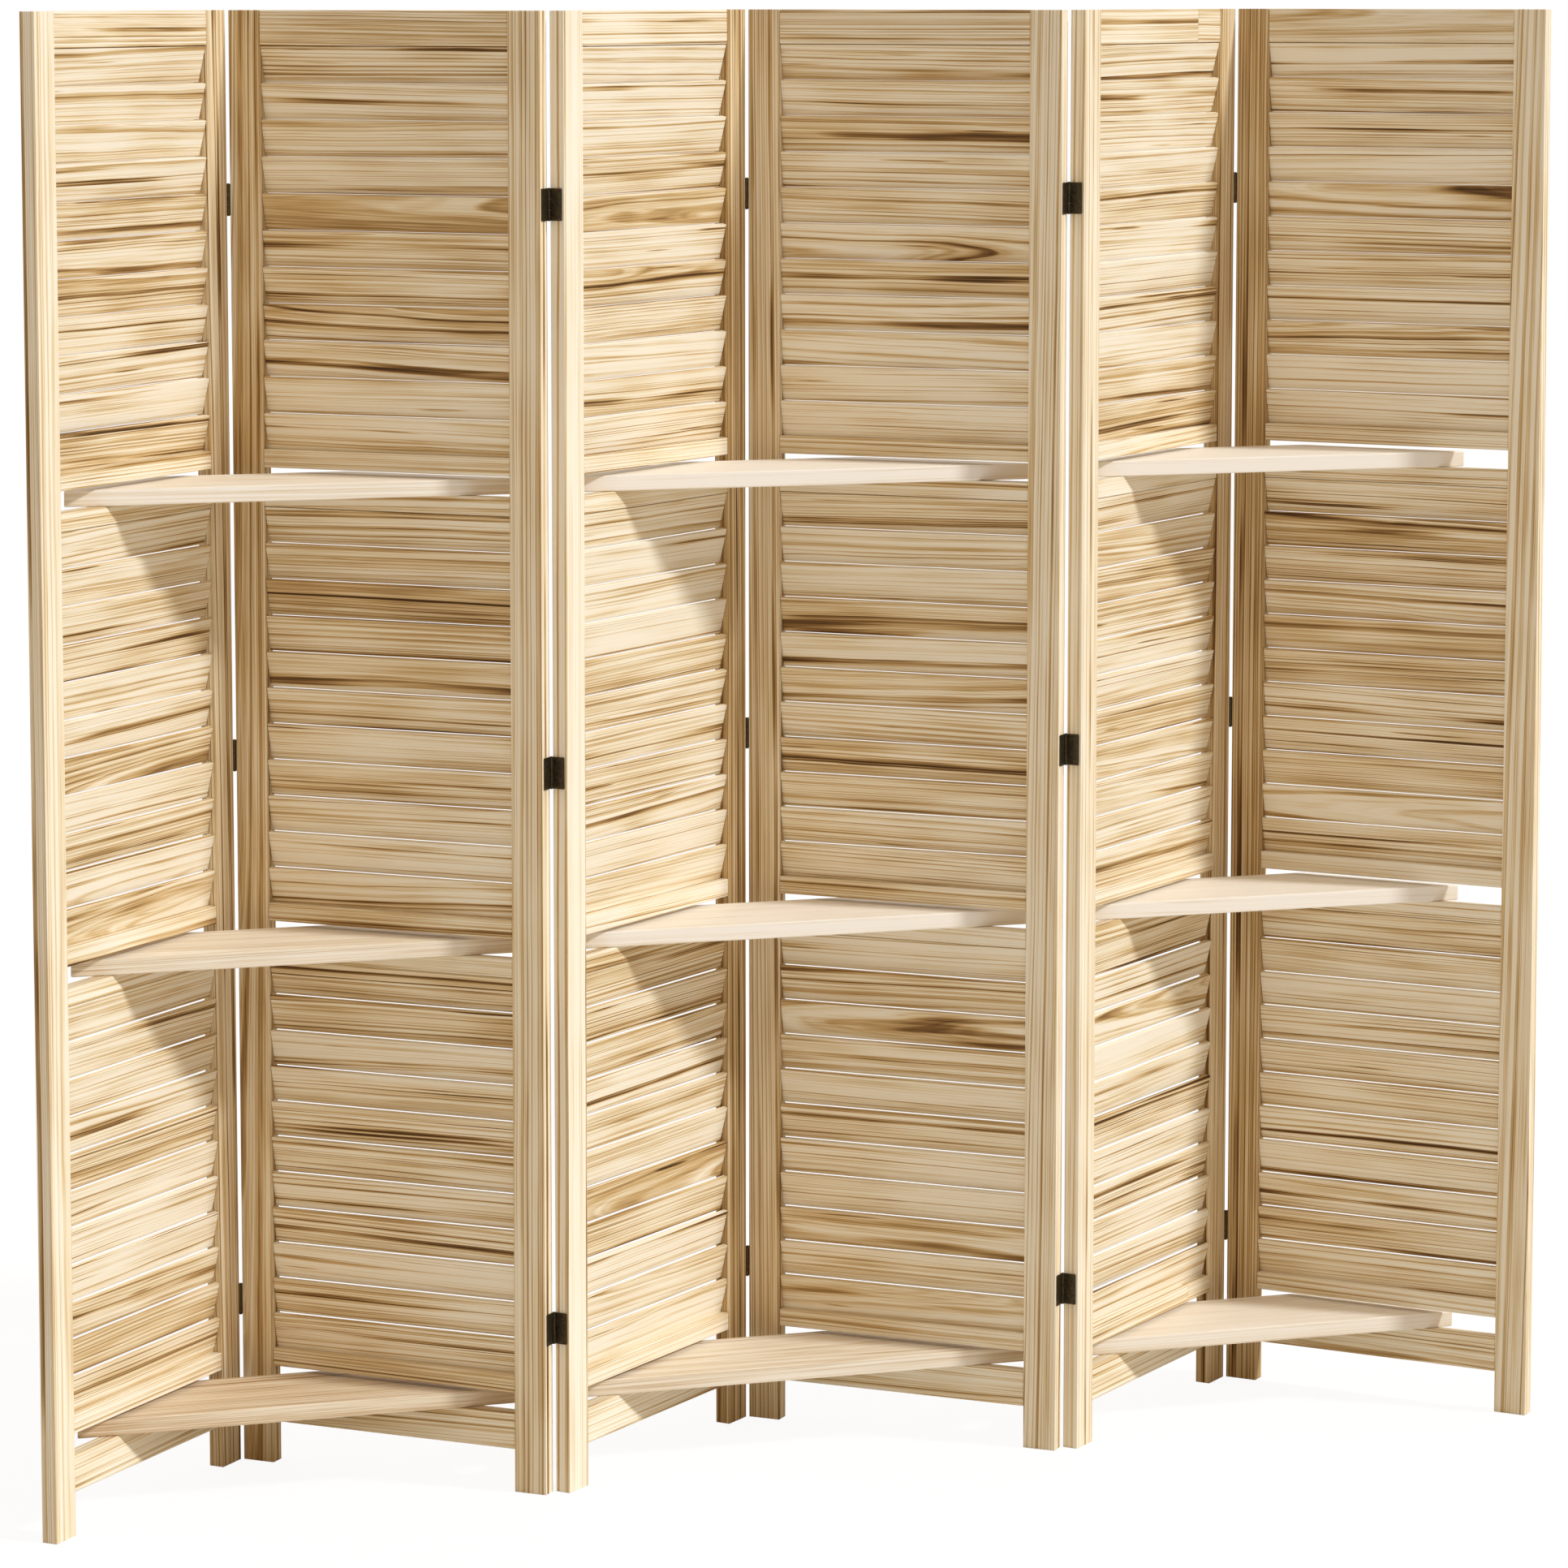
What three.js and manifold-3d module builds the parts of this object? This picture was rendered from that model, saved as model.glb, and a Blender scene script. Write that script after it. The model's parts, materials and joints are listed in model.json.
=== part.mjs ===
import * as THREE from "three";
import { mergeVertices } from "three/addons/utils/BufferGeometryUtils.js";
import Module from "manifold-3d";

// Folding screen with shelves. Millimetres, +Z up, -Y towards the viewer.
// Six louvred panels fold at five hinge lines, and nine boards lie in the panels' slots.

const wasm = await Module();
wasm.setup();

// Panel sizes. u runs along a panel from hinge line to hinge line, v from its front face to its back.
const pitch = 400;
const endGap = 2;
const thickness = 18.6;
const stileWidth = 39.8;
const clearance = 0.3;
const outerHeading = 46.5;
const innerHeading = 41.5;

// Heights, from the floor up
const footHeight = 50;
const bottomRail = 42.5;
const slotHeight = 24;
const thinRail = 21;
const bayHeight = 463.5;
const topRail = 40;
const railSetback = 0.5;

// Slats
const slatsPerBay = 11;
const slatHeight = 42.1;
const slatThickness = 5.5;
const slatTilt = 13;

// The groove in each stile, and the strip in it that the slats and rails are joined to
const grooveWidth = 3.6;
const grooveDepth = 7;
const grooveStop = 4;
const stripDepth = 6.4;
const biteIntoSlats = 0.5;

// Hinges
const hingeHeight = 36.5;
const hingeLevelShares = [0.1135, 0.4929, 0.8724];
const axisProud = 0.6;
const leafThickness = 1.2;
const leafWidth = 16.4;
const knuckleRadius = 1.75;
const knuckleGap = 0.25;
const pinRadius = 0.75;
const boreRadius = 0.86;
const bitePin = 0.2;
const roundSides = 12;

// Shelf boards. Reaches are measured sideways from the back hinge line to the board's tips.
const boardThickness = 18.5;
const boardFrontSetting = 194;
const boardRearSetting = 47;
const boardReaches = {
  12: { left: 232, right: 292 },
  34: { left: 270, right: 294 },
  56: { left: 262, right: 220.5 },
};

const pine = { color: 0xe2c596, roughness: 0.55, metalness: 0 };
const bronze = { color: 0x4a3a28, roughness: 0.45, metalness: 0.8 };

const rad = THREE.MathUtils.degToRad;
const screen = new THREE.Group();

// A box between two corners, as a closed mesh.
function box(u0, u1, v0, v1, z0, z1) {
  const shape = new THREE.BoxGeometry(Math.abs(u1 - u0), Math.abs(v1 - v0), Math.abs(z1 - z0));
  return shape.translate((u0 + u1) / 2, (v0 + v1) / 2, (z0 + z1) / 2);
}

// An upright cylinder about the line at u, v.
function rod(u, v, radius, z0, z1) {
  const shape = new THREE.CylinderGeometry(radius, radius, z1 - z0, roundSides);
  return shape.rotateX(rad(90)).translate(u, v, (z0 + z1) / 2);
}

function solid(geometry) {
  const bare = geometry.clone();
  bare.deleteAttribute("normal");
  bare.deleteAttribute("uv");
  const merged = mergeVertices(bare);
  return new wasm.Manifold(
    new wasm.Mesh({
      numProp: 3,
      vertProperties: merged.attributes.position.array,
      triVerts: new Uint32Array(merged.index.array),
    }),
  );
}

function join(geometries) {
  return geometries.map(solid).reduce((whole, piece) => whole.add(piece));
}

// A named mesh of one solid, placed in the panel's own frame.
function addPiece(name, shape, finish, place) {
  const data = shape.getMesh();
  const geometry = new THREE.BufferGeometry();
  geometry.setAttribute("position", new THREE.BufferAttribute(new Float32Array(data.vertProperties), 3));
  geometry.setIndex(new THREE.BufferAttribute(new Uint32Array(data.triVerts), 1));
  geometry.computeVertexNormals();
  const mesh = new THREE.Mesh(geometry, new THREE.MeshStandardMaterial(finish));
  mesh.name = name;
  mesh.position.set(place.x, place.y, 0);
  mesh.rotation.z = rad(place.heading);
  screen.add(mesh);
}

// The levels of one panel: rails, slots and slat bays from the bottom rail up.
const levels = [];
let height = footHeight;
function level(kind, size) {
  levels.push({ kind, bottom: height, top: height + size });
  height += size;
}
level("rail", bottomRail);
for (const shelf of ["bottom", "middle", "top"]) {
  level("slot", slotHeight);
  level("rail", thinRail);
  level("bay", bayHeight);
  if (shelf !== "top") level("rail", thinRail);
}
level("rail", topRail);
const totalHeight = height;
const slots = levels.filter((one) => one.kind === "slot");

const innerLeft = endGap + stileWidth;
const innerRight = pitch - endGap - stileWidth;
const middle = thickness / 2;

// A stile with a blind groove in its inner edge.
function stile(onRight) {
  const outer = onRight ? pitch - endGap : endGap;
  const inner = onRight ? innerRight : innerLeft;
  const inwards = onRight ? -1 : 1;
  const groove = box(
    inner - inwards * grooveDepth, inner + inwards * grooveDepth,
    middle - grooveWidth / 2, middle + grooveWidth / 2,
    footHeight + grooveStop, totalHeight - grooveStop,
  );
  return solid(box(outer, inner, 0, thickness, 0, totalHeight)).subtract(solid(groove));
}

// All rails and slats of a panel, joined at both ends by a strip that lies in the stile's groove.
function louvres() {
  const pieces = [];
  const left = innerLeft + clearance;
  const right = innerRight - clearance;
  const stripHalf = grooveWidth / 2 - clearance;
  for (const one of levels) {
    if (one.kind === "rail") {
      pieces.push(box(left, right, railSetback, thickness - railSetback, one.bottom, one.top));
    }
    if (one.kind === "bay") {
      const slatPitch = bayHeight / slatsPerBay;
      for (let i = 0; i < slatsPerBay; i++) {
        const slat = new THREE.BoxGeometry(right - left, slatThickness, slatHeight);
        slat.rotateX(rad(slatTilt));
        pieces.push(slat.translate((left + right) / 2, middle, one.bottom + (i + 1 / 2) * slatPitch));
      }
    }
  }
  for (const [end, inwards] of [[left, 1], [right, -1]]) {
    const hidden = end - inwards * stripDepth;
    const low = footHeight + grooveStop + clearance;
    const high = totalHeight - grooveStop - clearance;
    pieces.push(box(hidden, end - inwards * 2 * clearance, middle - stripHalf, middle + stripHalf, low, high));
    for (const one of levels) {
      if (one.kind === "slot") continue;
      pieces.push(
        box(
          hidden, end + inwards * biteIntoSlats, middle - stripHalf, middle + stripHalf,
          Math.max(one.bottom, low), Math.min(one.top, high),
        ),
      );
    }
  }
  return join(pieces);
}

// One leaf of a hinge. along points from the axis into the panel, inwards from the axis into its thickness.
function leaf(axisU, axisV, along, inwards, holdsPin, level) {
  const bottom = level - hingeHeight / 2;
  const top = level + hingeHeight / 2;
  const third = (hingeHeight - 2 * knuckleGap) / 3;
  const outerFace = endGap - clearance;
  const near = axisU + along * (outerFace - leafThickness);
  const far = axisU + along * outerFace;
  const clearOfKnuckles = axisV + inwards * (knuckleRadius + clearance);
  const edge = axisV + inwards * leafWidth;
  const spans = holdsPin
    ? [[bottom, bottom + third], [top - third, top]]
    : [[bottom + third + knuckleGap, top - third - knuckleGap]];
  let made = join([
    box(near, far, clearOfKnuckles, edge, bottom, top),
    ...spans.flatMap(([low, high]) => [
      rod(axisU, axisV, knuckleRadius, low, high),
      box(near, far, axisV, clearOfKnuckles + inwards * bitePin, low, high),
    ]),
  ]);
  if (holdsPin) made = made.add(solid(rod(axisU, axisV, pinRadius, bottom + bitePin, top - bitePin)));
  else made = made.subtract(solid(rod(axisU, axisV, boreRadius, bottom, top)));
  return made;
}

// Puts a panel so that the point at u, v of its own frame lands on a given point of the plan.
function placed(u, v, at, heading) {
  const turn = rad(heading);
  return {
    x: at.x - u * Math.cos(turn) + v * Math.sin(turn),
    y: at.y - u * Math.sin(turn) - v * Math.cos(turn),
    heading,
  };
}

function pointOf(place, u, v) {
  const turn = rad(place.heading);
  return {
    x: place.x + u * Math.cos(turn) - v * Math.sin(turn),
    y: place.y + u * Math.sin(turn) + v * Math.cos(turn),
  };
}

// The plan: hinge axes stand proud of the front faces at the back folds, of the back faces at the front folds.
const front = -axisProud;
const back = thickness + axisProud;
const fold34 = { x: 0, y: 0 };
const panel3 = placed(pitch, front, fold34, innerHeading);
const panel4 = placed(0, front, fold34, -innerHeading);
const fold23 = pointOf(panel3, 0, back);
const fold45 = pointOf(panel4, pitch, back);
const panel2 = placed(pitch, back, fold23, -innerHeading);
const panel5 = placed(0, back, fold45, innerHeading);
const fold12 = pointOf(panel2, 0, front);
const fold56 = pointOf(panel5, pitch, front);
const panel1 = placed(pitch, front, fold12, outerHeading);
const panel6 = placed(0, front, fold56, -outerHeading);
const panels = [panel1, panel2, panel3, panel4, panel5, panel6];

panels.forEach((place, i) => {
  const name = "panel_" + (i + 1);
  addPiece(name + "_stile_left", stile(false), pine, place);
  addPiece(name + "_stile_right", stile(true), pine, place);
  addPiece(name + "_louvres", louvres(), pine, place);
});

// Three hinges at each fold: the left panel's leaf holds the pin, the right panel's leaf turns on it.
panels.slice(1).forEach((rightPanel, i) => {
  const atBack = i % 2 === 0;
  const axisV = atBack ? front : back;
  const inwards = atBack ? 1 : -1;
  hingeLevelShares.forEach((share, k) => {
    const name = "hinge_" + (i + 1) + "_" + (i + 2) + "_" + ["low", "mid", "high"][k];
    addPiece(name + "_pin_leaf", leaf(pitch, axisV, -1, inwards, true, share * totalHeight), bronze, panels[i]);
    addPiece(name + "_bored_leaf", leaf(0, axisV, 1, inwards, false, share * totalHeight), bronze, rightPanel);
  });
});

// A board: its sides run parallel to its two panels, behind them, and its rear edge is cut off straight.
function board(reach, leftHeading, rightHeading, bottom) {
  const run = boardFrontSetting - boardRearSetting;
  const outline = new THREE.Shape([
    new THREE.Vector2(-reach.left, -boardFrontSetting),
    new THREE.Vector2(reach.right, -boardFrontSetting),
    new THREE.Vector2(reach.right - run / Math.tan(rad(rightHeading)), -boardRearSetting),
    new THREE.Vector2(-reach.left + run / Math.tan(rad(leftHeading)), -boardRearSetting),
  ]);
  const shape = new THREE.ExtrudeGeometry(outline, { depth: boardThickness, bevelEnabled: false });
  return solid(shape.translate(0, 0, bottom));
}

const bays = [
  { name: "12", at: fold12, left: outerHeading, right: innerHeading },
  { name: "34", at: fold34, left: innerHeading, right: innerHeading },
  { name: "56", at: fold56, left: innerHeading, right: outerHeading },
];
for (const bay of bays) {
  slots.forEach((slot, k) => {
    const made = board(boardReaches[bay.name], bay.left, bay.right, slot.bottom + clearance);
    const name = "shelf_" + bay.name + "_" + ["low", "mid", "high"][k];
    addPiece(name, made, pine, { x: bay.at.x, y: bay.at.y, heading: 0 });
  });
}

// The origin is under the middle of the screen's depth, on the floor.
const centre = new THREE.Box3().setFromObject(screen, true).getCenter(new THREE.Vector3());
for (const mesh of screen.children) {
  mesh.position.x -= centre.x;
  mesh.position.y -= centre.y;
}

export default screen;
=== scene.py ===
import json
import math
import random

import bmesh
import bpy
from mathutils import Matrix, Vector


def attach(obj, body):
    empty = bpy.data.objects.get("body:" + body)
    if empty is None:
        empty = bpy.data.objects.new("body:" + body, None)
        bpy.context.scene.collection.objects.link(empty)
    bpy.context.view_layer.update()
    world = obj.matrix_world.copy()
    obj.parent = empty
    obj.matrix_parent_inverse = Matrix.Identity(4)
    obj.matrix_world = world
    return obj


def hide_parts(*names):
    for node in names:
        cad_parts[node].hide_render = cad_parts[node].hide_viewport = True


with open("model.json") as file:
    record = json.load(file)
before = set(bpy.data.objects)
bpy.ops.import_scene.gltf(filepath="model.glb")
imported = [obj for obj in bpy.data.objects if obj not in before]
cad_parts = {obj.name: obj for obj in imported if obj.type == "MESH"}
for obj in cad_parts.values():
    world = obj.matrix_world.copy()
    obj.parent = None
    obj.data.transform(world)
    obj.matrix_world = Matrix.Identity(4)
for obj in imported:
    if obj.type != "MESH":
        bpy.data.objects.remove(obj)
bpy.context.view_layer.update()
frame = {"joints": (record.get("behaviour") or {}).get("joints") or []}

MM = 0.001

# Panel sizes. u runs along a panel from hinge line to hinge line, v from its front face to its back.
PITCH = 400 * MM
END_GAP = 2 * MM
THICKNESS = 18.6 * MM
STILE_WIDTH = 39.8 * MM
CLEARANCE = 0.3 * MM
AXIS_PROUD = 0.6 * MM
HEADINGS = (46.5, -41.5, 41.5, -41.5, 41.5, -46.5)
INNER_LEFT = END_GAP + STILE_WIDTH
INNER_RIGHT = PITCH - END_GAP - STILE_WIDTH

# How dark each panel's left and right stile is, in steps of the usual spread between sticks. Those at the
# back folds are darker than those at the front: painted shade of the back fold corners, on top of each
# stile's own tone.
STILE_TONES_WITH_FOLD_SHADE = {1: (-0.8, 2.4), 2: (2.8, 0.5), 3: (-3.2, 5.0), 4: (2.2, -1.3), 5: (-0.8, 3.2), 6: (6.2, 0.6)}

# These rails are made of two lengths of wood, butted together. Each is given as its panel's number and
# its own, counted from the floor up.
JOINED_RAILS = {(5, 1), (5, 6)}
JOIN_AT = 298 * MM
JOIN_GAP = 0.3 * MM

# Heights, from the floor up
FOOT_HEIGHT = 50 * MM
BOTTOM_RAIL = 42.5 * MM
SLOT_HEIGHT = 24 * MM
THIN_RAIL = 21 * MM
BAY_HEIGHT = 463.5 * MM
TOP_RAIL = 40 * MM
RAIL_SETBACK = 0.5 * MM

# Slats
SLATS_PER_BAY = 11
SLAT_HEIGHT = 42.1 * MM
SLAT_THICKNESS = 5.5 * MM
SLAT_TILT = 13

# Boards
BOARD_THICKNESS = 18.5 * MM
BOARD_FRONT = 194 * MM
BOARD_REAR = 47 * MM
# How dark each bay's low, middle and high board is, in steps of the usual spread between sticks. The low
# boards are darker and the high ones paler: painted shade under the boards above and painted light from
# overhead, on top of each board's own tone.
BOARD_TONES_WITH_SHADE = {"12": (6.6, 3.2, 1.0), "34": (2.6, -1.4, -3.4), "56": (0.6, -2.4, -4.4)}
# How far each bay's boards reach to the left and to the right of the fold, at their front edge
BOARD_REACHES = {"12": (232 * MM, 292 * MM), "34": (270 * MM, 294 * MM), "56": (262 * MM, 220.5 * MM)}

# Edges taken off with fine paper
STILE_EASE = 0.4 * MM
RAIL_EASE = 0.8 * MM
SLAT_EASE = 0.5 * MM
BOARD_EASE = 1.3 * MM

# Hinges
LEVEL_NAMES = ("low", "mid", "high")
HINGE_HEIGHT = 36.5 * MM
HINGE_LEVEL_SHARES = (0.1135, 0.4929, 0.8724)
LEAF_THICKNESS = 1.2 * MM
LEAF_WIDTH = 16.4 * MM
LEAF_CORNER = 1.2 * MM
LEAF_EASE = 0.25 * MM
KNUCKLE_RADIUS = 1.75 * MM
KNUCKLE_GAP = 0.15 * MM
PIN_RADIUS = 0.75 * MM
PIN_HEAD = 0.5 * MM
PIN_HEAD_RADIUS = 1.5 * MM
PIN_HEAD_EASE = PIN_HEAD / 3
SCREW_RADIUS = 2.4 * MM
SCREW_PROUD = 0.15 * MM
SCREW_LEVEL_SHARE = 0.27
SCREW_ACROSS_SHARE = 0.6
SCREW_EASE = 0.1 * MM
SOCKET_SHARE = 0.55
SOCKET_DEPTH = 0.4 * MM
ROUND_SIDES = 20

FOLDS = {joint["name"]: Vector(joint["pos_m"]) for joint in frame["joints"] if joint["type"] == "hinge"}


# The panels' places in the plan

def panel_matrix(number):
    """The matrix from a panel's own u, v, z to the part's frame, with its front hinge line on the joint."""
    pair = (number + 1) // 2 * 2
    fold = FOLDS["fold_%d_%d" % (pair - 1, pair)]
    anchor = Vector((PITCH if number % 2 else 0, -AXIS_PROUD, 0))
    turn = Matrix.Rotation(math.radians(HEADINGS[number - 1]), 4, "Z")
    at = Vector((fold.x, fold.y, 0))
    return Matrix.Translation(at) @ turn @ Matrix.Translation(-anchor)


def panel_levels():
    """Rails, slots and bays of one panel from the bottom rail up, as (kind, low, high)."""
    levels = []
    height = FOOT_HEIGHT

    def add(kind, size):
        nonlocal height
        levels.append((kind, height, height + size))
        height += size

    add("rail", BOTTOM_RAIL)
    for shelf in LEVEL_NAMES:
        add("slot", SLOT_HEIGHT)
        add("rail", THIN_RAIL)
        add("bay", BAY_HEIGHT)
        if shelf != "high":
            add("rail", THIN_RAIL)
    add("rail", TOP_RAIL)
    return levels, height


LEVELS, TOTAL_HEIGHT = panel_levels()
SLOTS = [level for level in LEVELS if level[0] == "slot"]


# Wood

# How far each stick lies from the heart of its tree, the slants to the rings at which it may be sawn and
# their spread in degrees, how far along the tree it may start, and its largest slope to the grain
HEART_DISTANCES = (45 * MM, 120 * MM)
SAWN_AT = (45, 135, 225, 315)
STRAIGHT_SPREAD = 12
SLAT_SPREAD = 20
START_REACH = 40
PANEL_SEED = 100
BOARD_SEED = 10
SLOPE_REACH = 0.012


def bevel(bm, edges, width, segments):
    """Rounds edges over. Gives what the operator gives."""
    return bmesh.ops.bevel(
        bm, geom=edges, offset=width, offset_type="OFFSET", segments=segments,
        profile=0.5, affect="EDGES", material=-1,
    )


def new_timber():
    """An empty bmesh that can hold each stick's grain."""
    bm = bmesh.new()
    bm.verts.layers.float_vector.new("grain")
    bm.verts.layers.float.new("tone")
    return bm


def board_grain(bm, verts, along, draw, spread, tone_with_painted_shade=None):
    """Gives a stick its place in the tree it was sawn from. along is 0, 1 or 2, the axis of its length."""
    grain = bm.verts.layers.float_vector["grain"]
    tone = bm.verts.layers.float["tone"]
    # Sawn at a slant to the rings, so that most faces show near-parallel lines and few show arches
    turn = math.radians(draw.choice(SAWN_AT) + draw.gauss(0, spread))
    distance = draw.uniform(*HEART_DISTANCES)
    start = draw.uniform(0, START_REACH)
    # A tone given from the tables also carries painted shade: darker stiles at the back folds and darker low
    # boards.
    shade = draw.gauss(0, 1) if tone_with_painted_shade is None else tone_with_painted_shade
    lean = draw.uniform(-SLOPE_REACH, SLOPE_REACH)
    drift = draw.uniform(-SLOPE_REACH, SLOPE_REACH)
    across = [axis for axis in range(3) if axis != along]
    middle = [sum(v.co[axis] for v in verts) / len(verts) for axis in range(3)]
    for v in verts:
        length = v.co[along] - middle[along]
        a = v.co[across[0]] - middle[across[0]] + length * lean
        b = v.co[across[1]] - middle[across[1]] + length * drift
        v[grain] = Vector((
            length + start,
            a * math.cos(turn) - b * math.sin(turn) + distance,
            a * math.sin(turn) + b * math.cos(turn),
        ))
        v[tone] = shade


def add_stick(bm, low, high, ease, along, draw, spread, tilt=0.0, tone_with_painted_shade=None):
    """A sawn stick between two corners with its edges eased, turned about its own length by tilt degrees."""
    size = [b - a for a, b in zip(low, high)]
    middle = Vector([(a + b) / 2 for a, b in zip(low, high)])
    made = bmesh.ops.create_cube(bm, size=1.0)
    verts = made["verts"]
    bmesh.ops.scale(bm, vec=size, verts=verts)
    edges = list({e for v in verts for e in v.link_edges})
    rounded = bevel(bm, edges, ease, 1)
    verts = list({v for f in rounded["faces"] for v in f.verts})
    board_grain(bm, verts, along, draw, spread, tone_with_painted_shade)
    bmesh.ops.rotate(bm, cent=(0, 0, 0), matrix=Matrix.Rotation(math.radians(tilt), 3, "X"), verts=verts)
    bmesh.ops.translate(bm, vec=middle, verts=verts)


def finish_piece(name, bm, matrix, body, material, nodes):
    """The bmesh as a piece of the part: placed, riding on its body, standing for its CAD nodes."""
    bmesh.ops.transform(bm, matrix=matrix, verts=bm.verts)
    bmesh.ops.recalc_face_normals(bm, faces=bm.faces)
    mesh = bpy.data.meshes.new(name)
    bm.to_mesh(mesh)
    bm.free()
    mesh.materials.append(material)
    piece = bpy.data.objects.new(name, mesh)
    bpy.context.scene.collection.objects.link(piece)
    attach(piece, body)
    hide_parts(*nodes)


# Materials

def linear(hex_colour):
    """An sRGB hex colour as linear red, green, blue and alpha."""
    channels = [int(hex_colour[i:i + 2], 16) / 255 for i in (1, 3, 5)]
    return tuple(c / 12.92 if c <= 0.04045 else ((c + 0.055) / 1.055) ** 2.4 for c in channels) + (1.0,)


def node(tree, kind, links=(), **settings):
    """Adds a node. links maps its inputs to other nodes' outputs or plain values."""
    made = tree.nodes.new(kind)
    for key, value in settings.items():
        setattr(made, key, value)
    for socket, value in dict(links).items():
        target = made.inputs[socket]
        if isinstance(value, bpy.types.NodeSocket):
            tree.links.new(value, target)
        else:
            target.default_value = value
    return made


def set_ramp(ramp, stops):
    """Puts colours on a colour ramp, as (position, hex colour)."""
    while len(ramp.elements) < len(stops):
        ramp.elements.new(1.0)
    for element, (position, colour) in zip(ramp.elements, stops):
        element.position = position
        element.color = linear(colour)


def new_material(name):
    """A material and its empty node tree."""
    material = bpy.data.materials.new(name)
    material.use_nodes = True
    tree = material.node_tree
    tree.nodes.clear()
    return material, tree


def calc(tree, operation, *values):
    """The result of a sum on plain values or other nodes' outputs."""
    return node(tree, "ShaderNodeMath", enumerate(values), operation=operation).outputs[0]


def remap(tree, value, span, reach=(0.0, 1.0), **settings):
    """Takes a value from its own span to another reach."""
    return node(tree, "ShaderNodeMapRange", {
        "Value": value, "From Min": span[0], "From Max": span[1], "To Min": reach[0], "To Max": reach[1],
    }, **settings).outputs[0]


def ring_noise(tree, ring, width, detail, roughness=0.5):
    """Noise that changes from ring to ring only."""
    return node(tree, "ShaderNodeTexNoise", {
        "W": ring, "Scale": 1 / width, "Detail": detail, "Roughness": roughness,
    }, noise_dimensions="1D").outputs["Fac"]


def grain_noise(tree, grain, length, width, detail, roughness=0.5):
    """Noise drawn out along the grain: length along it, width across it."""
    drawn = node(tree, "ShaderNodeMapping", {"Vector": grain, "Scale": (1 / length, 1 / width, 1 / width)})
    return node(tree, "ShaderNodeTexNoise", {
        "Vector": drawn.outputs[0], "Scale": 1.0, "Detail": detail, "Roughness": roughness,
    }).outputs["Fac"]


# The pine's pattern. Widths lie across the rings and lengths along the board. Each SPAN is the part of a
# noise's values that takes a mark from nothing to its full share of the colour ramp.
WANDER_LENGTH = 330 * MM
WANDER_WIDTH = 45 * MM
WANDER_DETAIL = 2.5
SLAT_WANDER = 5 * MM
STRAIGHT_WANDER = 3 * MM
TONE_SHIFTS_RINGS = 3.7

RING_WIDTH = 4.3 * MM
RING_SHARPNESS = 3
RING_FALL_STARTS = 0.82
UNEVEN_WIDTH = 13 * MM
UNEVEN_RINGS = 6
STRONG_WIDTH = 6 * MM
STRONG_SPAN = (0.40, 0.64)
FAINTEST_RING_SHARE = 0.18

LINE_WIDTH = 2.6 * MM
LINE_SPAN = (0.38, 0.68)
LINE_PALEST_SHARE = -0.07
SOFT_LINE_SHARE = 0.45

BAND_WIDTH = 12 * MM
BAND_SPAN = (0.55, 0.69)
FADE_LENGTH = 240 * MM
FADE_SPAN = (0.40, 0.62)

PATCH_LENGTH = 170 * MM
PATCH_WIDTH = 26 * MM
PATCH_SPAN = (0.35, 0.65)

SPOT_LENGTH = 150 * MM
SPOT_WIDTH = 4.8 * MM
SPOT_SPAN = (0.79, 0.86)

FIBRE_LENGTH = 208 * MM
FIBRE_WIDTH = 1.3 * MM
FIBRE_SPAN = (0.3, 0.7)
FIBRE_SHARE = 0.13

LACQUER_ROUGHNESS = (0.50, 0.64)
LACQUER_IOR = 1.45
LACQUER_SPECULAR_SHARE = 0.2
GRAIN_DEPTH = 0.15 * MM
GRAIN_DEPTH_SHARE = 0.2


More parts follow.
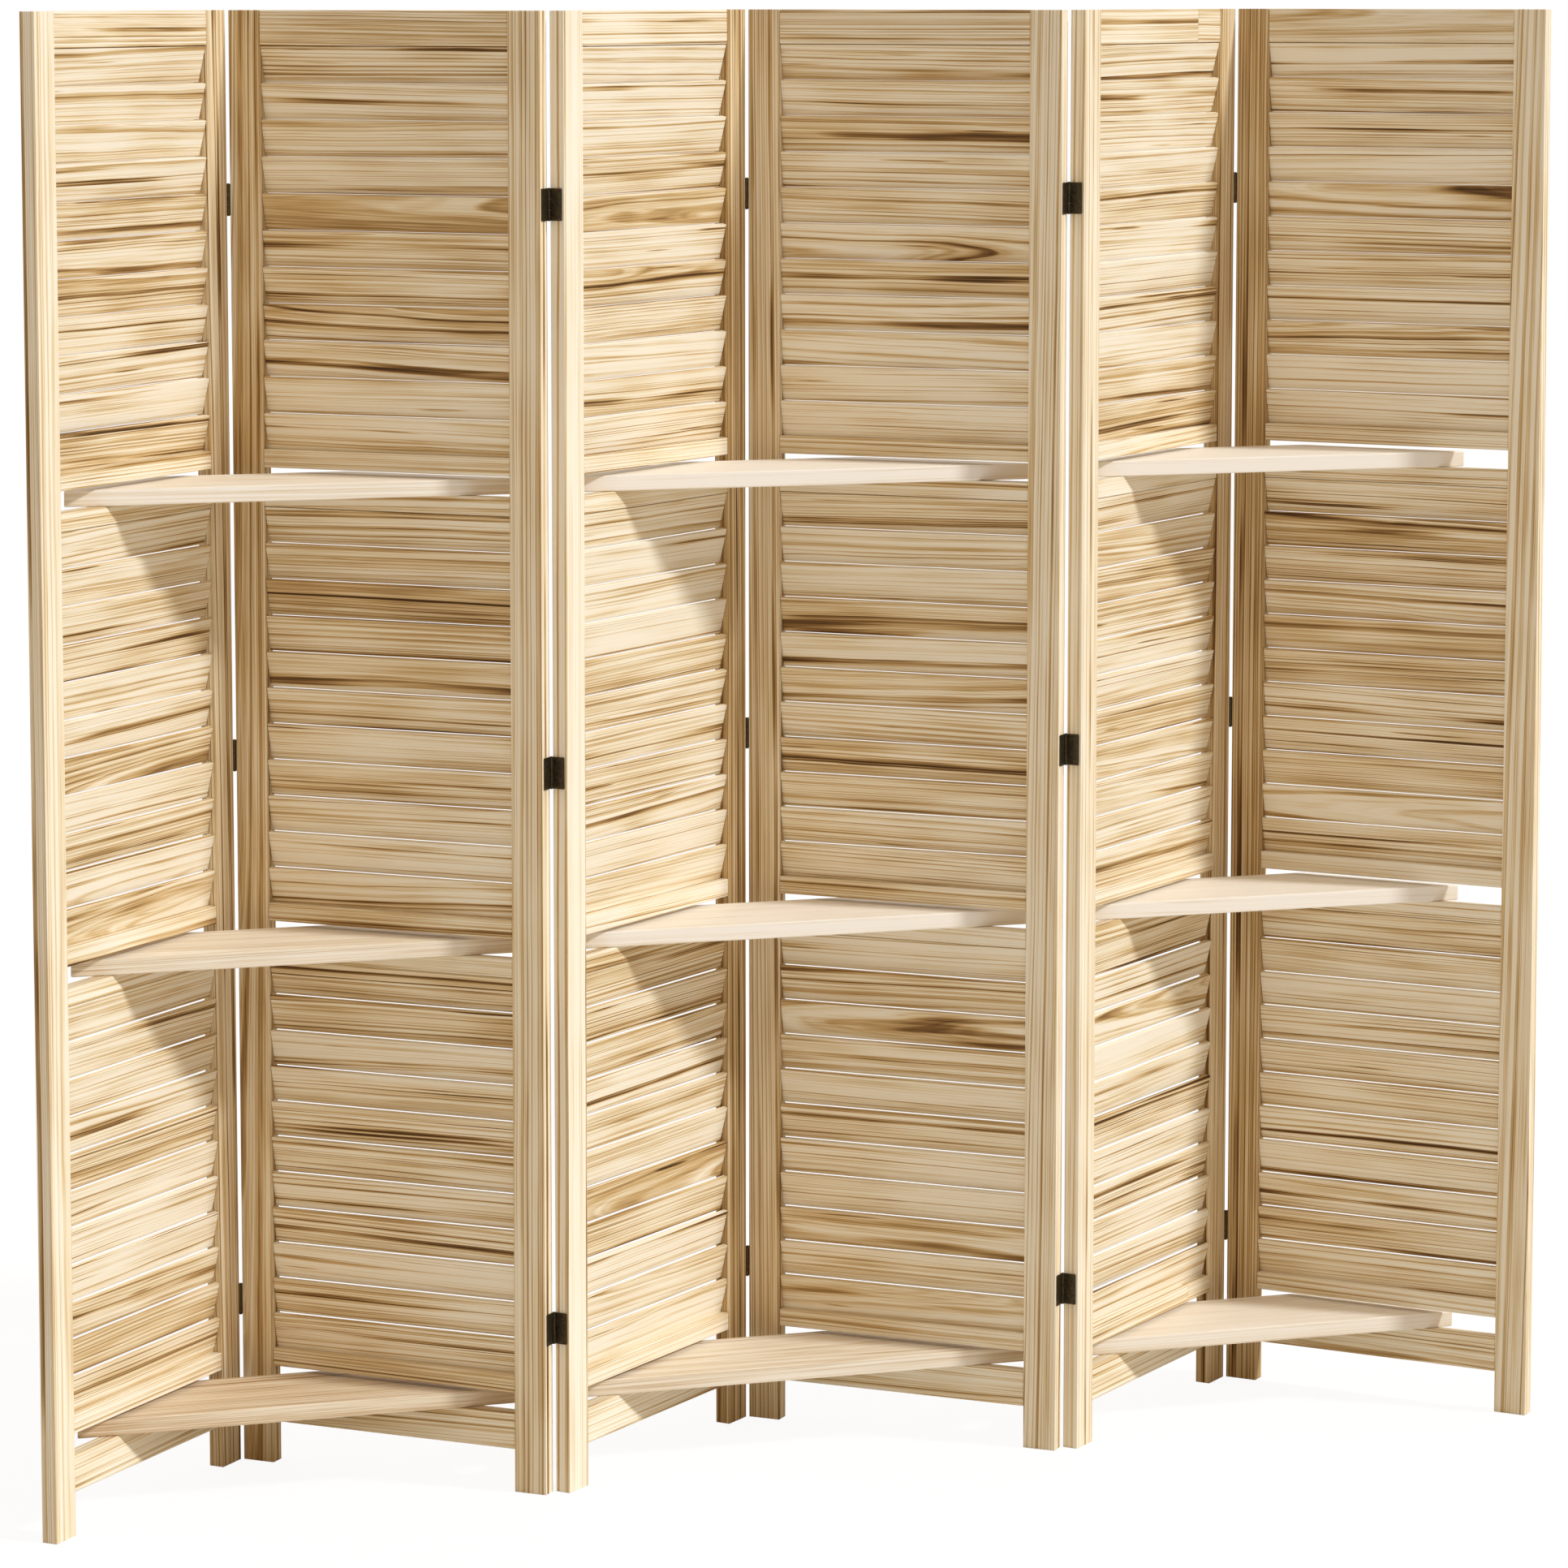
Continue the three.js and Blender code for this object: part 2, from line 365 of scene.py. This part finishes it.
def pine(name, colours, wander_reach, line_share, band_share, patch_share, spot_share, tone_share):
    """Pine boards and sticks, planed, sanded and brushed with clear lacquer. Planing lays the growth rings
    bare as lines, arches and end grain, sanding leaves fine fibres, and the lacquer gives a low sheen."""
    material, tree = new_material(name)
    grain = node(tree, "ShaderNodeAttribute", attribute_name="grain").outputs["Vector"]
    tone = node(tree, "ShaderNodeAttribute", attribute_name="tone").outputs["Fac"]

    # The tree's rings are not quite round, and wander a little along its length. Each stick comes from
    # another tree: its own tone also moves its rings.
    wander = grain_noise(tree, grain, WANDER_LENGTH, WANDER_WIDTH, WANDER_DETAIL)
    parts = node(tree, "ShaderNodeSeparateXYZ", {"Vector": grain})
    flat = node(tree, "ShaderNodeCombineXYZ", {"X": parts.outputs["Y"], "Y": parts.outputs["Z"]})
    radius = node(tree, "ShaderNodeVectorMath", {0: flat.outputs[0]}, operation="LENGTH").outputs["Value"]
    bent = calc(tree, "MULTIPLY_ADD", wander, wander_reach, radius)
    ring = calc(tree, "MULTIPLY_ADD", tone, TONE_SHIFTS_RINGS, bent)

    # Growth rings of differing width: each darkens outwards and ends quickly, some far darker than others.
    uneven = ring_noise(tree, ring, UNEVEN_WIDTH, 1.0)
    count = calc(tree, "MULTIPLY", ring, 1 / RING_WIDTH)
    within = calc(tree, "FRACT", calc(tree, "MULTIPLY_ADD", uneven, UNEVEN_RINGS, count))
    rise = calc(tree, "POWER", within, RING_SHARPNESS)
    fall = remap(tree, within, (RING_FALL_STARTS, 1.0), (1.0, 0.0), interpolation_type="SMOOTHSTEP")
    strong = ring_noise(tree, ring, STRONG_WIDTH, 2.0, 0.6)
    strength = remap(tree, strong, STRONG_SPAN, (FAINTEST_RING_SHARE, line_share))
    ring_part = calc(tree, "MULTIPLY", calc(tree, "MULTIPLY", rise, fall), strength)

    # Softer lines between them
    lines = ring_noise(tree, ring, LINE_WIDTH, 3.0, 0.75)
    line_part = remap(tree, lines, LINE_SPAN, (LINE_PALEST_SHARE, SOFT_LINE_SHARE * line_share), clamp=False)

    # Brown bands of summer wood that come and go along the board
    bands = ring_noise(tree, ring, BAND_WIDTH, 3.0, 0.62)
    band = remap(tree, bands, BAND_SPAN, interpolation_type="SMOOTHSTEP")
    fade = grain_noise(tree, grain, FADE_LENGTH, BAND_WIDTH, 1.0)
    band_part = calc(tree, "MULTIPLY", band, remap(tree, fade, FADE_SPAN, (0.0, band_share)))

    # Broad patches, a little paler or a little more golden
    patch = grain_noise(tree, grain, PATCH_LENGTH, PATCH_WIDTH, 1.0)
    patch_part = remap(tree, patch, PATCH_SPAN, (-patch_share, patch_share))

    # Short dark resin marks
    spot = grain_noise(tree, grain, SPOT_LENGTH, SPOT_WIDTH, 0.0)
    spot_part = remap(tree, spot, SPOT_SPAN, (0.0, spot_share))

    fibre = grain_noise(tree, grain, FIBRE_LENGTH, FIBRE_WIDTH, 2.0, 0.6)
    fibre_part = remap(tree, fibre, FIBRE_SPAN, (-FIBRE_SHARE, FIBRE_SHARE))

    # All of them together run from pale spring wood through honey to brown. The tone also carries painted
    # shade: darker stiles at the back folds and darker low boards.
    shade = calc(tree, "MULTIPLY_ADD", tone, tone_share, line_part)
    for part in (ring_part, band_part, patch_part, spot_part, fibre_part):
        shade = calc(tree, "ADD", shade, part)
    colour = node(tree, "ShaderNodeValToRGB", {"Fac": shade})
    set_ramp(colour.color_ramp, colours)

    bump = node(tree, "ShaderNodeBump", {
        "Height": shade, "Strength": GRAIN_DEPTH_SHARE, "Distance": GRAIN_DEPTH,
    })
    shader = node(tree, "ShaderNodeBsdfPrincipled", {
        "Base Color": colour.outputs["Color"],
        "Roughness": remap(tree, fibre, FIBRE_SPAN, LACQUER_ROUGHNESS),
        "Normal": bump.outputs[0],
        "IOR": LACQUER_IOR,
        "Specular IOR Level": LACQUER_SPECULAR_SHARE,
    })
    node(tree, "ShaderNodeOutputMaterial", {"Surface": shader.outputs[0]})
    return material


BLOTCH_WIDTH = 4 * MM
BLOTCH_DETAIL = 4.0
BLOTCH_DEPTH = 0.05 * MM
BLOTCH_DEPTH_SHARE = 0.2
BRONZE_COLOURS = [(0.3, "#3a3121"), (0.7, "#564a33")]
BRONZE_ROUGHNESS = (0.32, 0.55)
BRONZE_METAL_SHARE = 0.85


def bronzed_steel():
    """Hinges stamped from sheet steel and dipped in a dark bronze finish, which leaves them nearly black,
    with a low, warm and slightly blotched sheen."""
    material, tree = new_material("bronzed_hinge_steel")
    at = node(tree, "ShaderNodeTexCoord").outputs["Object"]
    blotches = node(tree, "ShaderNodeTexNoise", {
        "Vector": at, "Scale": 1 / BLOTCH_WIDTH, "Detail": BLOTCH_DETAIL,
    })
    blotch = blotches.outputs["Fac"]
    colour = node(tree, "ShaderNodeValToRGB", {"Fac": blotch})
    set_ramp(colour.color_ramp, BRONZE_COLOURS)
    bump = node(tree, "ShaderNodeBump", {
        "Height": blotch, "Strength": BLOTCH_DEPTH_SHARE, "Distance": BLOTCH_DEPTH,
    })
    shader = node(tree, "ShaderNodeBsdfPrincipled", {
        "Base Color": colour.outputs["Color"],
        "Roughness": remap(tree, blotch, (0.0, 1.0), BRONZE_ROUGHNESS),
        "Normal": bump.outputs[0],
        "Metallic": BRONZE_METAL_SHARE,
    })
    node(tree, "ShaderNodeOutputMaterial", {"Surface": shader.outputs[0]})
    return material


BOARD_COLOURS = [(0.0, "#faf3e8"), (0.30, "#eadcc4"), (0.58, "#caac84"), (0.82, "#94714c"), (1.0, "#5c412b")]
PINE_COLOURS = [(0.0, "#f8f0de"), (0.18, "#eedfbf"), (0.42, "#d0b07b"), (0.70, "#8f6b3e"), (1.0, "#4a3219")]
STILE_PINE = pine(
    "lacquered_pine_stiles", PINE_COLOURS, STRAIGHT_WANDER,
    line_share=0.80, band_share=0.50, patch_share=0.06, spot_share=0.0, tone_share=0.045,
)
RAIL_PINE = pine(
    "lacquered_pine_rails", PINE_COLOURS, STRAIGHT_WANDER,
    line_share=0.76, band_share=0.50, patch_share=0.08, spot_share=0.0, tone_share=0.05,
)
SLAT_PINE = pine(
    "lacquered_pine_slats", PINE_COLOURS, SLAT_WANDER,
    line_share=0.80, band_share=0.62, patch_share=0.10, spot_share=0.45, tone_share=0.075,
)
BOARD_PINE = pine(
    "lacquered_pine_boards", BOARD_COLOURS, STRAIGHT_WANDER,
    line_share=0.46, band_share=0.14, patch_share=0.05, spot_share=0.24, tone_share=0.05,
)
HINGE_STEEL = bronzed_steel()


# Panels

def make_panel(number):
    """One panel: two stiles, its rails and its slats, with their grain drawn in this order."""
    place = panel_matrix(number)
    body = "panel_%d" % number
    draw = random.Random(PANEL_SEED * number)
    spans = (("left", END_GAP, INNER_LEFT), ("right", INNER_RIGHT, PITCH - END_GAP))
    # Each stile takes its tone from the table, painted shade of the back folds included.
    for (side, low_u, high_u), tone in zip(spans, STILE_TONES_WITH_FOLD_SHADE[number]):
        bm = new_timber()
        far = (high_u, THICKNESS, TOTAL_HEIGHT)
        add_stick(bm, (low_u, 0, 0), far, STILE_EASE, 2, draw, STRAIGHT_SPREAD, tone_with_painted_shade=tone)
        name = body + "_stile_" + side
        finish_piece(name + "_wood", bm, place, body, STILE_PINE, [name])
    left = INNER_LEFT + CLEARANCE
    right = INNER_RIGHT - CLEARANCE
    rails = new_timber()
    slats = new_timber()
    rail_number = 0
    for kind, low, high in LEVELS:
        if kind == "rail":
            lengths = [(left, right)]
            if (number, rail_number) in JOINED_RAILS:
                lengths = [(left, JOIN_AT - JOIN_GAP / 2), (JOIN_AT + JOIN_GAP / 2, right)]
            for start, end in lengths:
                corner = (start, RAIL_SETBACK, low)
                far = (end, THICKNESS - RAIL_SETBACK, high)
                add_stick(rails, corner, far, RAIL_EASE, 0, draw, STRAIGHT_SPREAD)
            rail_number += 1
        if kind == "bay":
            pitch = BAY_HEIGHT / SLATS_PER_BAY
            for i in range(SLATS_PER_BAY):
                z = low + (i + 0.5) * pitch
                corner = (left, (THICKNESS - SLAT_THICKNESS) / 2, z - SLAT_HEIGHT / 2)
                far = (right, (THICKNESS + SLAT_THICKNESS) / 2, z + SLAT_HEIGHT / 2)
                add_stick(slats, corner, far, SLAT_EASE, 0, draw, SLAT_SPREAD, SLAT_TILT)
    finish_piece(body + "_rails", rails, place, body, RAIL_PINE, [body + "_louvres"])
    finish_piece(body + "_slats", slats, place, body, SLAT_PINE, [body + "_louvres"])


for panel_number in range(1, len(HEADINGS) + 1):
    make_panel(panel_number)


# Shelves

def make_board(bay, level, draw):
    """A board cut to a trapezoid: its sides run parallel to its two panels, its rear edge is cut off."""
    first = int(bay[0])
    fold = FOLDS["fold_%s_%s" % (bay[0], bay[1])]
    left_reach, right_reach = BOARD_REACHES[bay]
    run = BOARD_FRONT - BOARD_REAR
    left_in = run / math.tan(math.radians(abs(HEADINGS[first - 1])))
    right_in = run / math.tan(math.radians(abs(HEADINGS[first])))
    corners = (
        (-left_reach, -BOARD_FRONT),
        (right_reach, -BOARD_FRONT),
        (right_reach - right_in, -BOARD_REAR),
        (-left_reach + left_in, -BOARD_REAR),
    )
    bottom = SLOTS[level][1] + CLEARANCE
    bm = new_timber()
    face = bm.faces.new([bm.verts.new((x, y, 0)) for x, y in corners])
    raised = bmesh.ops.extrude_face_region(bm, geom=[face])
    top = [item for item in raised["geom"] if isinstance(item, bmesh.types.BMVert)]
    bmesh.ops.translate(bm, vec=(0, 0, BOARD_THICKNESS), verts=top)
    bevel(bm, bm.edges[:], BOARD_EASE, 2)
    # The board's tone from the table carries painted shade on the low boards and painted light on the high
    # ones.
    board_grain(bm, bm.verts[:], 0, draw, STRAIGHT_SPREAD, BOARD_TONES_WITH_SHADE[bay][level])
    body = "shelf_%s_%s" % (bay, LEVEL_NAMES[level])
    place = Matrix.Translation((fold.x, fold.y, bottom))
    finish_piece(body + "_board", bm, place, body, BOARD_PINE, [body])


for bay_name in BOARD_REACHES:
    for slot_level in range(len(SLOTS)):
        make_board(bay_name, slot_level, random.Random(int(bay_name) * BOARD_SEED + slot_level))


# Hinges

def add_block(bm, low, high):
    """A plain block between two corners. Gives its vertices."""
    size = [b - a for a, b in zip(low, high)]
    middle = Vector([(a + b) / 2 for a, b in zip(low, high)])
    verts = bmesh.ops.create_cube(bm, size=1.0)["verts"]
    bmesh.ops.scale(bm, vec=size, verts=verts)
    bmesh.ops.translate(bm, vec=middle, verts=verts)
    return verts


def add_rod(bm, at, radius, low, high, ease=0.0):
    """An upright rod with both its rims eased. Gives its vertices."""
    verts = bmesh.ops.create_cone(
        bm, cap_ends=True, segments=ROUND_SIDES, radius1=radius, radius2=radius, depth=high - low,
    )["verts"]
    if ease:
        edges = {e for v in verts for e in v.link_edges}
        rims = [e for e in edges if abs(e.verts[0].co.z - e.verts[1].co.z) < ease]
        rounded = bevel(bm, rims, ease, 2)
        verts = list({v for v in verts if v.is_valid} | {v for f in rounded["faces"] for v in f.verts})
    bmesh.ops.translate(bm, vec=(at[0], at[1], (low + high) / 2), verts=verts)
    return verts


def add_screw(bm, face_u, outwards, v, z):
    """A countersunk screw, its head a touch proud of the leaf, with a socket in the middle."""
    head = add_rod(bm, (0, 0), SCREW_RADIUS, -LEAF_THICKNESS / 2, SCREW_PROUD, SCREW_EASE)
    cap = max({f for vert in head for f in vert.link_faces}, key=lambda f: f.calc_center_median().z)
    bmesh.ops.inset_region(bm, faces=[cap], thickness=SCREW_RADIUS * SOCKET_SHARE, use_even_offset=True)
    socket = bmesh.ops.extrude_face_region(bm, geom=[cap])
    sunk = [item for item in socket["geom"] if isinstance(item, bmesh.types.BMVert)]
    bmesh.ops.translate(bm, vec=(0, 0, -SOCKET_DEPTH), verts=sunk)
    bmesh.ops.delete(bm, geom=[cap], context="FACES_ONLY")
    near = [vert for vert in bm.verts if vert.co.length < 2 * SCREW_RADIUS]
    turn = Matrix.Rotation(math.radians(90 * outwards), 3, "Y")
    bmesh.ops.rotate(bm, cent=(0, 0, 0), matrix=turn, verts=near)
    bmesh.ops.translate(bm, vec=(face_u, v, z), verts=near)


def make_leaf(name, body, place, side, holds_pin, at_back, level):
    """One leaf on a stile's end face: plate, knuckles and two screws. side is 1 where the panel lies
    to the right of the hinge line and -1 where it lies to the left."""
    bottom = level - HINGE_HEIGHT / 2
    top = level + HINGE_HEIGHT / 2
    third = (HINGE_HEIGHT - 2 * KNUCKLE_GAP) / 3
    axis_u = 0 if side > 0 else PITCH
    axis_v = -AXIS_PROUD if at_back else THICKNESS + AXIS_PROUD
    inwards = 1 if at_back else -1
    face = END_GAP - CLEARANCE
    near, far = sorted((axis_u + side * (face - LEAF_THICKNESS), axis_u + side * face))
    bm = bmesh.new()
    for offset in (-SCREW_LEVEL_SHARE, SCREW_LEVEL_SHARE):
        across = axis_v + inwards * LEAF_WIDTH * SCREW_ACROSS_SHARE
        add_screw(bm, near if side > 0 else far, -side, across, level + offset * HINGE_HEIGHT)
    start = axis_v + inwards * KNUCKLE_RADIUS
    edge = axis_v + inwards * LEAF_WIDTH
    plate = add_block(bm, (near, min(start, edge), bottom), (far, max(start, edge), top))
    at_edge = [v for v in plate if abs(v.co.y - edge) < LEAF_EASE]
    corners = [
        e for e in {e for v in at_edge for e in v.link_edges}
        if all(v in at_edge for v in e.verts) and abs(e.verts[0].co.x - e.verts[1].co.x) > LEAF_EASE
    ]
    bevel(bm, corners, LEAF_CORNER, 4)
    if holds_pin:
        spans = ((bottom, bottom + third), (top - third, top))
    else:
        spans = ((bottom + third + KNUCKLE_GAP, top - third - KNUCKLE_GAP),)
    for low, high in spans:
        add_rod(bm, (axis_u, axis_v), KNUCKLE_RADIUS, low, high, LEAF_EASE)
        add_block(bm, (near, min(axis_v, start), low), (far, max(axis_v, start), high))
    if holds_pin:
        add_rod(bm, (axis_u, axis_v), PIN_RADIUS, bottom, top)
        for low, high in ((bottom - PIN_HEAD, bottom), (top, top + PIN_HEAD)):
            add_rod(bm, (axis_u, axis_v), PIN_HEAD_RADIUS, low, high, PIN_HEAD_EASE)
    finish_piece(name + "_metal", bm, place, body, HINGE_STEEL, [name])


for left_number in range(1, len(HEADINGS)):
    right_number = left_number + 1
    back_fold = left_number % 2 == 1
    left_place = panel_matrix(left_number)
    right_place = panel_matrix(right_number)
    for level_name, share in zip(LEVEL_NAMES, HINGE_LEVEL_SHARES):
        hinge = "hinge_%d_%d_%s_" % (left_number, right_number, level_name)
        height = share * TOTAL_HEIGHT
        make_leaf(hinge + "pin_leaf", "panel_%d" % left_number, left_place, -1, True, back_fold, height)
        make_leaf(hinge + "bored_leaf", "panel_%d" % right_number, right_place, 1, False, back_fold, height)


# Floor, lights and camera

SUN_FROM = Vector((1.387, -1.0, 1.2))
SUN_SPREAD = 6.0
SUN_COLOUR = "#f9fcff"
SUN_STRENGTH = 2.25
WALL_COLOUR = "#ffdebb"
WALL_STRENGTH = 0.375
CEILING_COLOUR = "#fffdfa"
CEILING_STRENGTH = 0.75
CEILING_STARTS = 0.45
CEILING_FULL = 0.95
FLOOR_COLOUR = "#ebe9e4"
FLOOR_SIZE = 40
FLOOR_GAP = 0.2 * MM
FLOOR_GLOW = 1.05
FLOOR_GLOW_SHARE = 0.88
SENSOR_WIDTH = 36
LENS = 125.841
SHIFT_UP = -0.12
SEES_TO = 100
CAMERA_AT = (-1.96868, -6.06739, 1.72575)
CAMERA_LOOKS_DOWN = 6.3339
CAMERA_TURN = -17.9929


def make_floor():
    """Matt white studio paper, rolled out smooth: it takes soft shadows without any sheen, and glows for
    the camera so that it runs into the white behind it."""
    bm = bmesh.new()
    bmesh.ops.create_grid(bm, x_segments=1, y_segments=1, size=FLOOR_SIZE / 2)
    bmesh.ops.translate(bm, vec=(0, 0, -FLOOR_GAP), verts=bm.verts)
    mesh = bpy.data.meshes.new("floor")
    bm.to_mesh(mesh)
    bm.free()
    floor = bpy.data.objects.new("floor", mesh)
    bpy.context.scene.collection.objects.link(floor)
    material, tree = new_material("white_studio_floor")
    paint = node(tree, "ShaderNodeBsdfDiffuse", {"Color": linear(FLOOR_COLOUR)})
    glow = node(tree, "ShaderNodeEmission", {"Color": (1, 1, 1, 1), "Strength": FLOOR_GLOW})
    path = node(tree, "ShaderNodeLightPath")
    seen = calc(tree, "MULTIPLY", path.outputs["Is Camera Ray"], FLOOR_GLOW_SHARE)
    mixed = node(tree, "ShaderNodeMixShader", {0: seen, 1: paint.outputs[0], 2: glow.outputs[0]})
    node(tree, "ShaderNodeOutputMaterial", {"Surface": mixed.outputs[0]})
    mesh.materials.append(material)


def backdrop(tree, colour, strength):
    return node(tree, "ShaderNodeBackground", {"Color": linear(colour), "Strength": strength}).outputs[0]


def make_world():
    """A bright neutral ceiling above warm walls lights the part. The camera, reflections and glass see
    plain white in their place."""
    world = bpy.data.worlds.new("studio")
    bpy.context.scene.world = world
    world.use_nodes = True
    tree = world.node_tree
    tree.nodes.clear()
    direction = node(tree, "ShaderNodeTexCoord").outputs["Generated"]
    upward = node(tree, "ShaderNodeSeparateXYZ", {"Vector": direction}).outputs["Z"]
    height = remap(tree, upward, (CEILING_STARTS, CEILING_FULL), interpolation_type="SMOOTHSTEP")
    walls = backdrop(tree, WALL_COLOUR, WALL_STRENGTH)
    ceiling = backdrop(tree, CEILING_COLOUR, CEILING_STRENGTH)
    light = node(tree, "ShaderNodeMixShader", {0: height, 1: walls, 2: ceiling})
    path = node(tree, "ShaderNodeLightPath")
    seen = calc(tree, "MAXIMUM", path.outputs["Is Camera Ray"], path.outputs["Is Glossy Ray"])
    clear = calc(tree, "MAXIMUM", seen, path.outputs["Is Transmission Ray"])
    white = backdrop(tree, "#ffffff", 1.0)
    mixed = node(tree, "ShaderNodeMixShader", {0: clear, 1: light.outputs[0], 2: white})
    node(tree, "ShaderNodeOutputWorld", {"Surface": mixed.outputs[0]})


def make_lights():
    sun = bpy.data.lights.new("key", "SUN")
    sun.energy = SUN_STRENGTH
    sun.color = linear(SUN_COLOUR)[:3]
    sun.angle = math.radians(SUN_SPREAD)
    lamp = bpy.data.objects.new("key", sun)
    lamp.rotation_euler = SUN_FROM.to_track_quat("Z", "Y").to_euler()
    bpy.context.scene.collection.objects.link(lamp)


def make_camera():
    data = bpy.data.cameras.new("camera")
    data.sensor_width = SENSOR_WIDTH
    data.lens = LENS
    data.shift_y = SHIFT_UP
    data.clip_end = SEES_TO
    camera = bpy.data.objects.new("camera", data)
    camera.location = CAMERA_AT
    camera.rotation_euler = (math.radians(90 - CAMERA_LOOKS_DOWN), 0, math.radians(CAMERA_TURN))
    bpy.context.scene.collection.objects.link(camera)
    bpy.context.scene.camera = camera


make_floor()
make_world()
make_lights()
make_camera()
bpy.context.scene.view_settings.view_transform = "Standard"
